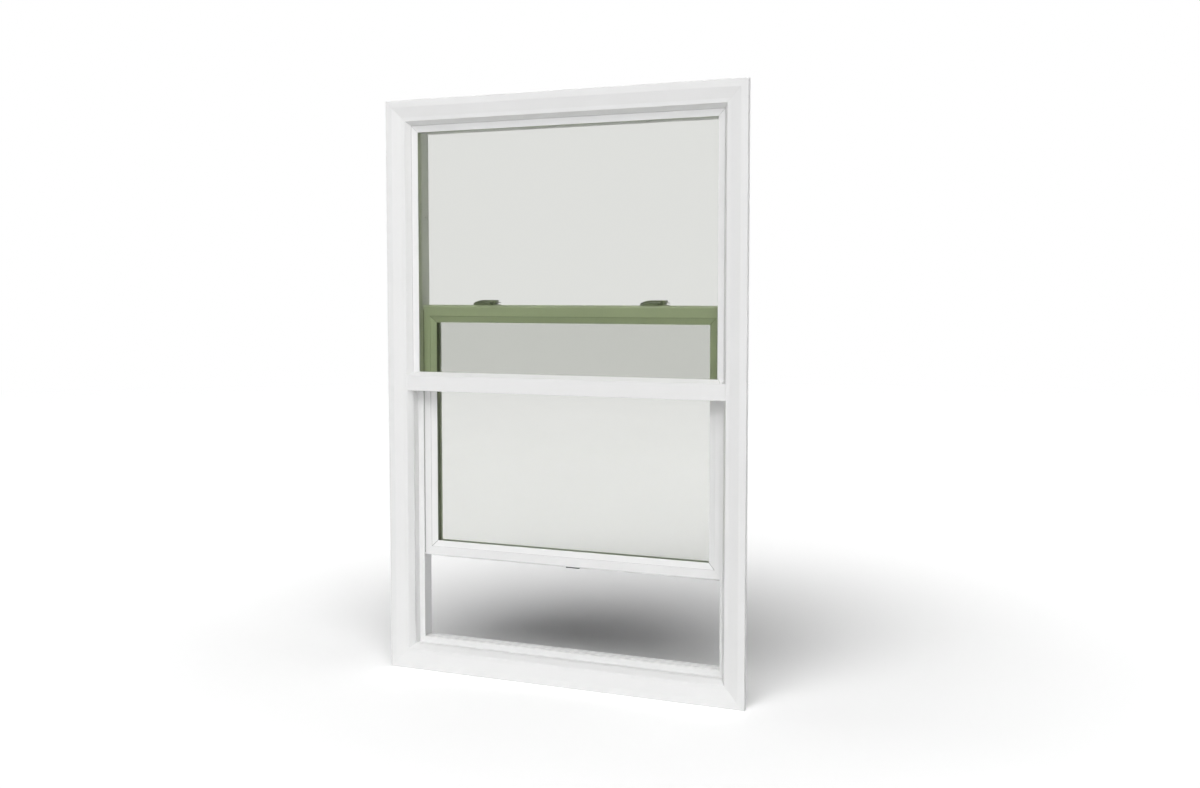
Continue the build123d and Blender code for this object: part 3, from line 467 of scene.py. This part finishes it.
def moulded_nylon(name, colour, paler):
    """Off-white moulded nylon: a spark-eroded grain from the mould, soft gloss, and faint flow
    clouds."""
    finish, tree, shader = new_finish(name, IOR=NYLON_IOR)
    flow = drawn_noise(tree, NYLON_FLOW, NYLON_FLOW_SCALE, 3.0)
    spark = drawn_noise(tree, EVENLY, NYLON_SPARK_SCALE, 3.0)
    shade = blended(tree, flow, colour, paler)
    skin(tree, shader, shade, spark, NYLON_ROUGH, spark, NYLON_RELIEF)
    return finish


nylon_finish = moulded_nylon("moulded_nylon", *NYLON_WHITES)
for side in SIDES:
    dress(nylon_finish, "sash_guide_" + side, "balance_shoe_" + side)


# Balance tubes, plugs and nuts. A thin rolled steel tube hangs in each jamb's pocket from a nylon
# plug, and holds the torsion spring, with a nylon nut at its foot. The zinc shows fine lines from
# the rolls along the tube.
ZINC_ROUGH = (0.28, 0.48)
ZINC_RELIEF = (0.15, 0.0002)
ZINC_SPANGLE_SCALE = 420.0
ZINC_LINE_SCALE = 1500.0
SPANGLE_DRAW = (1.0, 1.0, 0.5)
TUBE_GREYS = ((0.52, 0.53, 0.54, 1.0), (0.66, 0.67, 0.67, 1.0))
TUBE_DRAW = (1.0, 1.0, 0.02)


def zinc_steel(name, colour, paler, along):
    """Zinc on steel: bright and dull spangle in small cells, and lines from rolling or drawing
    along one axis."""
    finish, tree, shader = new_finish(name, Metallic=1.0)
    spot = add(tree, "Mapping", {"Vector": object_place(tree), "Scale": SPANGLE_DRAW}).outputs[0]
    spangle = add(tree, "TexVoronoi", {"Vector": spot, "Scale": ZINC_SPANGLE_SCALE}).outputs["Color"]
    level = add(tree, "SeparateColor", {"Color": spangle}).outputs[0]
    lines = drawn_noise(tree, along, ZINC_LINE_SCALE, 3.0)
    shade = blended(tree, level, colour, paler)
    skin(tree, shader, shade, lines, ZINC_ROUGH, lines, ZINC_RELIEF)
    return finish


tube_finish = zinc_steel("tube_zinc", *TUBE_GREYS, TUBE_DRAW)
for side in SIDES:
    dress(tube_finish, "balance_tube_" + side)
    dress(nylon_finish, "balance_plug_" + side, "balance_nut_" + side)


# Balance springs. Round spring wire wound into a long torsion spring inside each tube, fixed to
# the plug above and to the nut below.
SPRING_PITCH = 0.0022
SPRING_POINTS_PER_TURN = 14
SPRING_WIRE_SIDES = 5
SPRING_WIRE_RADIUS = 0.0005
SPRING_SHARP = 80.0
SPRING_GREYS = ((0.34, 0.34, 0.34, 1.0), (0.42, 0.42, 0.41, 1.0))


def coil(node):
    """A circle of wire carried along a helix: the wire's centre turns at a fixed radius and climbs
    one pitch a turn, and the circle lies in the plane of the outward and upward directions."""
    low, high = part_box(node)
    middle_x, middle_y = (low.x + high.x) / 2, (low.y + high.y) / 2
    radius = (high.x - low.x) / 2 - SPRING_WIRE_RADIUS
    climb = high.z - low.z - 2 * SPRING_WIRE_RADIUS
    turns = climb / SPRING_PITCH
    turn = np.linspace(0.0, 2 * math.pi * turns, int(turns * SPRING_POINTS_PER_TURN))[:, None]
    round_wire = np.linspace(0.0, 2 * math.pi, SPRING_WIRE_SIDES, endpoint=False)[None, :]
    out = radius + SPRING_WIRE_RADIUS * np.cos(round_wire)
    centre = low.z + SPRING_WIRE_RADIUS + SPRING_PITCH * turn / (2 * math.pi)
    rise = centre - SPRING_WIRE_RADIUS * np.sin(round_wire)
    x, y = middle_x + out * np.cos(turn), middle_y + out * np.sin(turn)
    return np.stack([x, y, rise], axis=-1)


spring_finish = zinc_steel("spring_wire", *SPRING_GREYS, EVENLY)
for side in SIDES:
    spring_node = "balance_spring_" + side
    spring = surface(spring_node + "_coil", [coil(spring_node)], spring_finish, sharp=SPRING_SHARP)
    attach(spring, "frame")
    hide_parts(spring_node)


# Spiral rods. A flat steel strip twisted to the right, one turn in 50 mm, stands on each shoe and
# runs up through the nut into the tube. As the sash moves, the twist turns the nut and winds or
# unwinds the spring.
ROD_TWIST_PITCH = 0.050
ROD_STRIP_THICK = 0.0014
ROD_ROW_STEP = 0.0012
ROD_EDGE_POINTS = 5
ROD_SHARP = 60.0
ROD_GREYS = ((0.55, 0.55, 0.55, 1.0), (0.66, 0.66, 0.65, 1.0))
ROD_DRAW = (1.0, 1.0, 0.05)


def twisted_strip(node):
    """Section of a flat strip with rounded edges carried up the axis, turned by one turn for each
    pitch of height."""
    low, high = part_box(node)
    middle_x, middle_y = (low.x + high.x) / 2, (low.y + high.y) / 2
    half, thin = (high.x - low.x) / 2, ROD_STRIP_THICK / 2
    flat = half - thin
    edge = np.linspace(-math.pi / 2, math.pi / 2, ROD_EDGE_POINTS)
    wide = np.concatenate([flat + thin * np.cos(edge), -flat - thin * np.cos(edge)])
    thick = np.concatenate([thin * np.sin(edge), -thin * np.sin(edge)])
    rise = np.linspace(low.z, high.z, int((high.z - low.z) / ROD_ROW_STEP))[:, None]
    turn = 2 * math.pi * (rise - low.z) / ROD_TWIST_PITCH
    x = middle_x + wide * np.cos(turn) - thick * np.sin(turn)
    y = middle_y + wide * np.sin(turn) + thick * np.cos(turn)
    return np.stack([x, y, rise + 0.0 * x], axis=-1)


rod_finish = zinc_steel("rod_zinc", *ROD_GREYS, ROD_DRAW)
for side in SIDES:
    rod_node = "balance_rod_" + side
    rod = surface(rod_node + "_spiral", [twisted_strip(rod_node)], rod_finish, sharp=ROD_SHARP)
    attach(rod, "sash")
    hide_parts(rod_node)


# Screws. Zinc-plated, with a low domed head and a cross recess: one in each balance's plug, two
# in each lock, in each keeper and in the finger lift. Each is a headed blank with a rolled thread.
SMALL_SCREW = dict(head_radius=0.0030, head_height=0.0016, shank_radius=0.0017, shank_length=0.006)
PLUG_SCREW = dict(head_radius=0.0032, head_height=0.002, shank_radius=0.0019, shank_length=0.0209)
SCREW_COLUMNS = 40
SCREW_TOP_ROWS = 14
SCREW_THREAD_ROWS = 36
SCREW_THREAD_PITCH = 0.0013
SCREW_THREAD_DEPTH = 0.0004
SCREW_DOME_START, SCREW_DOME_FALL = 0.04, 0.55
SCREW_DOME_SPREAD, SCREW_DOME_CURVE = 0.9, 1.2
SCREW_RIM = ((1.0, 0.98), (0.97, 1.0))
SCREW_SLOT_HALF, SCREW_SLOT_REACH, SCREW_SLOT_DEPTH = 0.13, 0.62, 0.6
SCREW_SLOT_BLEND = 0.0001
SCREW_POINT_START, SCREW_POINT_TAPER = 0.8, 0.75
SCREW_SHARP = 35.0
SCREW_GREYS = ((0.58, 0.58, 0.57, 1.0), (0.68, 0.68, 0.67, 1.0))
LOCK_SCREW_OFFSETS = (-0.0265, 0.006)
KEEPER_SCREW_SPREAD = 0.017
LIFT_SCREW_SPREAD = 0.011


def soft_step(edge, value):
    """0 well below the edge and 1 well above it, with a smooth rise from one blend's width before
    the edge to one after it."""
    share = np.clip((value - edge) / SCREW_SLOT_BLEND * 0.5 + 0.5, 0.0, 1.0)
    return share * share * (3 - 2 * share)


def screw(head_radius, head_height, shank_radius, shank_length):
    """Surface of revolution about Z, head up, with its top at zero. The top is a low dome less a
    cross: the deeper of two slots at right angles. The shank's radius rises and falls with height
    less the turn's share of a pitch, and shrinks to a point."""
    turn = np.linspace(0.0, 2 * math.pi, SCREW_COLUMNS, endpoint=False)[None, :]
    dome = np.linspace(SCREW_DOME_START, 1.0, SCREW_TOP_ROWS)[::-1][:, None] * math.pi / 2
    top_radius = head_radius * np.sin(dome) ** SCREW_DOME_SPREAD
    top_height = -SCREW_DOME_FALL * head_height * (1 - np.cos(dome)) ** SCREW_DOME_CURVE
    across, along = np.abs(top_radius * np.cos(turn)), np.abs(top_radius * np.sin(turn))
    slot_half, slot_reach = SCREW_SLOT_HALF * head_radius, SCREW_SLOT_REACH * head_radius
    cross = np.maximum(
        (1 - soft_step(slot_half, across)) * (1 - soft_step(slot_reach, along)),
        (1 - soft_step(slot_half, along)) * (1 - soft_step(slot_reach, across)),
    )
    top = (top_radius + 0.0 * turn, top_height - SCREW_SLOT_DEPTH * head_height * cross)
    under = np.array(SCREW_RIM)
    rim = (head_radius * under[:, :1] + 0.0 * turn, -head_height * under[:, 1:] + 0.0 * turn)
    rise = np.linspace(0.0, 1.0, SCREW_THREAD_ROWS)[:, None]
    depth = -head_height - rise * (shank_length - head_height) + 0.0 * turn
    share = np.mod(depth / SCREW_THREAD_PITCH - turn / (2 * math.pi), 1.0)
    point = np.clip((rise - SCREW_POINT_START) / (1.0 - SCREW_POINT_START), 0.0, 1.0)
    taper = 1.0 - SCREW_POINT_TAPER * point
    thread = (shank_radius - SCREW_THREAD_DEPTH * np.abs(2 * share - 1)) * taper
    radius = np.concatenate([top[0][::-1], rim[0], thread])[::-1]
    height = np.concatenate([top[1][::-1], rim[1], depth])[::-1]
    return np.stack([radius * np.cos(turn), radius * np.sin(turn), height], axis=-1)


def placed(shape, spot, up):
    """Turn a shape that stands along Z so that it stands along another axis, and move its zero to
    a spot."""
    up = np.array(up, float)
    side_way = np.array([0.0, 0.0, 1.0]) if abs(up[2]) < 0.5 else np.array([1.0, 0.0, 0.0])
    third = np.cross(up, side_way)
    turned = shape[..., :1] * side_way + shape[..., 1:2] * third + shape[..., 2:] * up
    return np.array(spot) + turned


def box_middle(node):
    """Middle of a node's box."""
    low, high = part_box(node)
    return (np.array(low) + np.array(high)) / 2


lock_low, lock_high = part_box("lock_screws")
lock_tops = (lock_low.z + SMALL_SCREW["shank_length"], lock_high.z)
lock_spots = [
    (box_middle("lock_base_" + side)[0] + offset, box_middle("lock_screws")[1], top)
    for side in SIDES
    for offset, top in zip(LOCK_SCREW_OFFSETS, lock_tops)
]
keeper_y, keeper_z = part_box("keeper_screws")[1].y, box_middle("keeper_screws")[2]
keeper_spots = [
    (box_middle("keeper_" + side)[0] + sign * KEEPER_SCREW_SPREAD, keeper_y, keeper_z)
    for side in SIDES
    for sign in (-1, 1)
]
lift_y, lift_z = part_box("lift_screws")[1].y, box_middle("lift_screws")[2]
lift_spots = [(sign * LIFT_SCREW_SPREAD, lift_y, lift_z) for sign in (-1, 1)]
plug_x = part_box("balance_screws")[1].x - PLUG_SCREW["shank_length"]
plug_y, plug_z = box_middle("balance_screws")[1:]
small_screw, plug_screw = screw(**SMALL_SCREW), screw(**PLUG_SCREW)
screw_groups = {
    "lock_screws": ("sash", [placed(small_screw, spot, (0, 0, 1)) for spot in lock_spots]),
    "keeper_screws": ("frame", [placed(small_screw, spot, (0, 1, 0)) for spot in keeper_spots]),
    "lift_screws": ("sash", [placed(small_screw, spot, (0, 1, 0)) for spot in lift_spots]),
    "balance_screws": (
        "frame",
        [placed(plug_screw, (sign * plug_x, plug_y, plug_z), (-sign, 0, 0)) for sign in (-1, 1)],
    ),
}
screw_finish = zinc_steel("screw_zinc", *SCREW_GREYS, EVENLY)
for screw_node, (screw_body, screw_shapes) in screw_groups.items():
    screws = surface(screw_node + "_cross", screw_shapes, screw_finish, sharp=SCREW_SHARP)
    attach(screws, screw_body)
    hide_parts(screw_node)


# Locks and keepers. Die-cast locks on the sash's top rail turn their cams into the slots of the
# keepers on the back of the meeting rail. The castings are shot-blasted and sprayed a satin grey.
LOCK_GREYS = ((0.33, 0.335, 0.32, 1.0), (0.38, 0.385, 0.37, 1.0))
PAINT_METAL = 0.25
PAINT_ROUGH = (0.36, 0.5)
PAINT_RELIEF = (0.12, 0.0002)
PAINT_PEEL_SCALE = 900.0
PAINT_FLOW_SCALE = 120.0


def sprayed_casting(name, colour, paler):
    """Satin spray paint on a casting: a fine orange-peel bump, slow clouds between two greys, and
    a slightly uneven gloss."""
    finish, tree, shader = new_finish(name, Metallic=PAINT_METAL, IOR=PLASTIC_IOR)
    peel = drawn_noise(tree, EVENLY, PAINT_PEEL_SCALE, 2.0)
    flow = drawn_noise(tree, EVENLY, PAINT_FLOW_SCALE, 2.0)
    shade = blended(tree, flow, colour, paler)
    skin(tree, shader, shade, peel, PAINT_ROUGH, peel, PAINT_RELIEF)
    return finish


lock_paint = sprayed_casting("lock_grey_paint", *LOCK_GREYS)
for side in SIDES:
    dress(lock_paint, "lock_base_" + side, "lock_cam_" + side, "lock_lever_" + side, "keeper_" + side)


# Finger lift. A short die-cast lip, sprayed and screwed to the room side of the sash's bottom
# rail, by which the sash is raised. Its grey is darker than the locks' as painted shade under the
# rail.
LIFT_PAINTED_SHADE_GREYS = ((0.15, 0.152, 0.147, 1.0), (0.19, 0.192, 0.186, 1.0))
dress(sprayed_casting("lift_painted_shade_grey", *LIFT_PAINTED_SHADE_GREYS), "sash_lift")


# Studio. A pale floor with a painted shadow: it is shown darker round a spot just behind the
# window and paler away from it, and runs on to a white surround. A broad soft light stands in
# front, above and a little to the right. Two low bands of light, one round the front and one
# behind on the left, light the upright faces.
FLOOR_REACH = 60.0
FLOOR_DROP = 0.0004
FLOOR_GREY = (0.88, 0.88, 0.88, 1.0)
FLOOR_PAINTED_SHADOW_SHOWN = (1.27, 1.27, 1.27, 1.0)
FLOOR_SHOWN_FAR = (1.78, 1.78, 1.78, 1.0)
FLOOR_PAINTED_SHADOW_SPOT = (0.0, 0.50, 0.0)
PAINTED_SHADOW_NEAR, PAINTED_SHADOW_FAR = 0.0, 1.95
FLOOR_FADE, FLOOR_END = 3.0, 12.0
WHITE = (1.0, 1.0, 1.0, 1.0)
KEY_LIGHT = dict(direction=(0.19, -0.66, 0.725), edge=0.82, strength=4.6)
FRONT_BAND = dict(direction=(0.50, -0.87, 0.0), edge=0.05, strength=5.6, top=0.15)
BACK_BAND = dict(direction=(-0.50, 0.87, 0.0), edge=0.5, strength=36.0, top=0.07)


def seen_rays(tree):
    """1 for rays of view, straight or by gloss or through glass, and 0 for rays that carry light
    to a surface."""
    path = add(tree, "LightPath", {})
    gloss, through = path.outputs["Is Glossy Ray"], path.outputs["Is Transmission Ray"]
    return sums(tree, "MAXIMUM", path.outputs["Is Camera Ray"], sums(tree, "MAXIMUM", gloss, through))


floor_mesh = bpy.data.meshes.new("floor")
floor_corners = FLOOR_REACH * np.array([(-1, -1), (1, -1), (1, 1), (-1, 1)], float)
floor_points = np.column_stack([floor_corners, np.full(4, -FLOOR_DROP)])
floor_mesh.from_pydata(floor_points.tolist(), [], [(0, 1, 2, 3)])
floor_finish = bpy.data.materials.new("pale_floor")
floor_finish.use_nodes = True
ground = floor_finish.node_tree
ground.nodes.remove(ground.nodes["Principled BSDF"])
# Painted shadow: the floor's shown colour is darkest at a spot just behind the window, in its cast
# shadow, and grows paler outwards.
floor_way = {0: object_place(ground), 1: FLOOR_PAINTED_SHADOW_SPOT}
floor_length = add(ground, "VectorMath", floor_way, operation="DISTANCE").outputs["Value"]
painted_shadow_fade = smooth(ground, floor_length, PAINTED_SHADOW_NEAR, PAINTED_SHADOW_FAR, 0.0, 1.0)
floor_shown_painted_shadow = blended(ground, painted_shadow_fade, FLOOR_PAINTED_SHADOW_SHOWN, FLOOR_SHOWN_FAR)
floor_seen = seen_rays(ground)
floor_colour = blended(ground, floor_seen, FLOOR_GREY, floor_shown_painted_shadow)
floor_lit = add(ground, "BsdfDiffuse", {"Color": floor_colour}).outputs[0]
floor_white = add(ground, "Emission", {"Color": WHITE, "Strength": 1.0}).outputs[0]
floor_ends = smooth(ground, floor_length, FLOOR_FADE, FLOOR_END, 0.0, 1.0)
floor_share = sums(ground, "MULTIPLY", floor_seen, floor_ends)
floor_shader = add(ground, "MixShader", {0: floor_share, 1: floor_lit, 2: floor_white})
ground.links.new(floor_shader.outputs[0], ground.nodes["Material Output"].inputs["Surface"])
floor_mesh.materials.append(floor_finish)
floor = bpy.data.objects.new("floor", floor_mesh)
bpy.context.scene.collection.objects.link(floor)

studio = bpy.data.worlds.new("studio")
studio.use_nodes = True
bpy.context.scene.world = studio
sky = studio.node_tree
sky.nodes.remove(sky.nodes["Background"])
towards = add(sky, "TexCoord", {}).outputs["Generated"]


def glow_from(direction, edge, strength, top=None):
    """Light that is full straight from one direction and fades smoothly to nothing at an edge
    round it, given as the cosine of its angle. With a top it fades upwards too, from the floor's
    level to nothing at that slope."""
    direction = (np.array(direction) / np.linalg.norm(direction)).tolist()
    facing = add(sky, "VectorMath", {0: towards, 1: direction}, operation="DOT_PRODUCT").outputs["Value"]
    glow = smooth(sky, facing, edge, 1.0, 0.0, strength)
    if top:
        height = add(sky, "SeparateXYZ", {"Vector": towards}).outputs["Z"]
        glow = sums(sky, "MULTIPLY", glow, smooth(sky, height, 0.0, top, 1.0, 0.0))
    return glow


bands = sums(sky, "ADD", glow_from(**FRONT_BAND), glow_from(**BACK_BAND))
all_glow = sums(sky, "ADD", glow_from(**KEY_LIGHT), bands)
light = add(sky, "Background", {"Color": WHITE, "Strength": all_glow}).outputs[0]
surround = add(sky, "Background", {"Color": WHITE, "Strength": 1.0}).outputs[0]
shown = add(sky, "MixShader", {0: seen_rays(sky), 1: light, 2: surround})
sky.links.new(shown.outputs[0], sky.nodes["World Output"].inputs["Surface"])


# Camera. It stands to the right in front of the window at two thirds of its height and looks a
# little down, with the lens that gives the picture's perspective.
PICTURE_WIDTH = 1200
FOCAL_PIXELS = 1434.11
SENSOR_WIDTH = 36.0
CAMERA_PLACE = (1.61103, -3.21827, 0.99925)
CAMERA_YAW = 24.9627
CAMERA_DOWN = 4.0155
PASSES_THROUGH_GLASS = 32
lens = bpy.data.cameras.new("camera")
lens.sensor_fit = "HORIZONTAL"
lens.sensor_width = SENSOR_WIDTH
lens.lens = SENSOR_WIDTH * FOCAL_PIXELS / PICTURE_WIDTH
camera = bpy.data.objects.new("camera", lens)
camera.location = CAMERA_PLACE
camera.rotation_euler = (math.radians(90.0 - CAMERA_DOWN), 0.0, math.radians(CAMERA_YAW))
bpy.context.scene.collection.objects.link(camera)
bpy.context.scene.camera = camera
bpy.context.scene.view_settings.view_transform = "Standard"
bpy.context.scene.cycles.transparent_max_bounces = PASSES_THROUGH_GLASS
